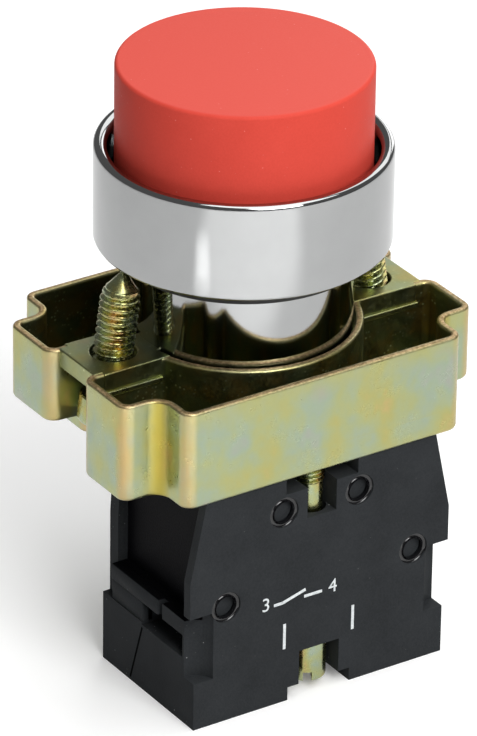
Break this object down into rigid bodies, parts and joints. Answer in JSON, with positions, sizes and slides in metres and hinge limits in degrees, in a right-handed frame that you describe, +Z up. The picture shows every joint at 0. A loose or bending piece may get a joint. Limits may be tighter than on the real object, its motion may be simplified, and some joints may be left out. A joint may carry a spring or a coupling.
{
  "type": "panel push button",
  "caption": "Round panel push button with an extended red cap, chrome bezel, pressed clamping collar with cone-point screws and a black normally-open contact block.",
  "frame": {"origin": "on the button's axis, at the bottom of the contact block, on which the part stands", "axes": "+Z up along the button's axis, out of the panel; the block's face looks to -Y"},
  "size_m": [0.0408, 0.0302, 0.0629],
  "materials": {
    "red_plastic": "fine matt moulded, red",
    "white_plastic": "natural acetal",
    "green_plastic": "moulded, green",
    "black_plastic": "matt moulded, charcoal black",
    "black_rubber": "moulded rubber",
    "chrome": "bright chrome plate",
    "yellow_zinc": "zinc plate with iridescent yellow passivation",
    "bright_steel": "bright spring and screw steel",
    "brass": "rolled brass",
    "copper": "rolled copper alloy",
    "silver": "silver contact alloy"
  },
  "bodies": {
    "base": {"mounting_collar": "yellow_zinc", "barrel": "chrome", "bezel": "chrome", "panel_gasket": "black_rubber", "return_spring": "bright_steel", "block_base": "black_plastic", "block_cover": "black_plastic", "block_fixing_screw": "yellow_zinc", "plunger_spring": "bright_steel", "fixed_contact_left": "brass", "fixed_contact_right": "brass", "fixed_tips": "silver"},
    "button": {"button_cap": "red_plastic", "pusher": "white_plastic", "pusher_seal": "black_rubber", "pusher_foot": "white_plastic", "stem_circlip": "bright_steel"},
    "plunger": {"contact_plunger": "green_plastic"},
    "bridge": {"contact_bridge": "copper", "bridge_tips": "silver", "contact_spring": "bright_steel"},
    "clamp_left": {"clamp_screw_left": "yellow_zinc"},
    "clamp_right": {"clamp_screw_right": "yellow_zinc"},
    "terminal_left": {"terminal_screw_left": "bright_steel", "terminal_clamp_left": "bright_steel"},
    "terminal_right": {"terminal_screw_right": "bright_steel", "terminal_clamp_right": "bright_steel"}
  },
  "joints": [
    {"name": "button_press", "type": "slide", "parent": "base", "child": "button", "axis": [0, 0, -1], "range_m": [0, 0.0043], "stiffness_N_per_m": 800, "springref_m": -0.006, "deforming": ["return_spring"]},
    {"name": "plunger_slide", "type": "slide", "parent": "base", "child": "plunger", "axis": [0, 0, -1], "range_m": [0, 0.0043], "deforming": ["plunger_spring"]},
    {"name": "bridge_slide", "type": "slide", "parent": "base", "child": "bridge", "axis": [0, 0, -1], "range_m": [0, 0.0021], "deforming": ["contact_spring"]},
    {"name": "clamp_left_feed", "type": "slide", "parent": "base", "child": "clamp_left", "axis": [-0.1392, 0, -0.9903], "range_m": [0, 0.005]},
    {"name": "clamp_right_feed", "type": "slide", "parent": "base", "child": "clamp_right", "axis": [0.1392, 0, -0.9903], "range_m": [0, 0.005]},
    {"name": "terminal_left_feed", "type": "slide", "parent": "base", "child": "terminal_left", "axis": [0, 0, 1], "range_m": [0, 0.0026]},
    {"name": "terminal_right_feed", "type": "slide", "parent": "base", "child": "terminal_right", "axis": [0, 0, 1], "range_m": [0, 0.0026]}
  ],
  "couplings": [
    {"joint": "plunger_slide", "follows": "button_press", "ratio": 1},
    {"joint": "bridge_slide", "follows": "button_press", "ratio": 0.488}
  ]
}
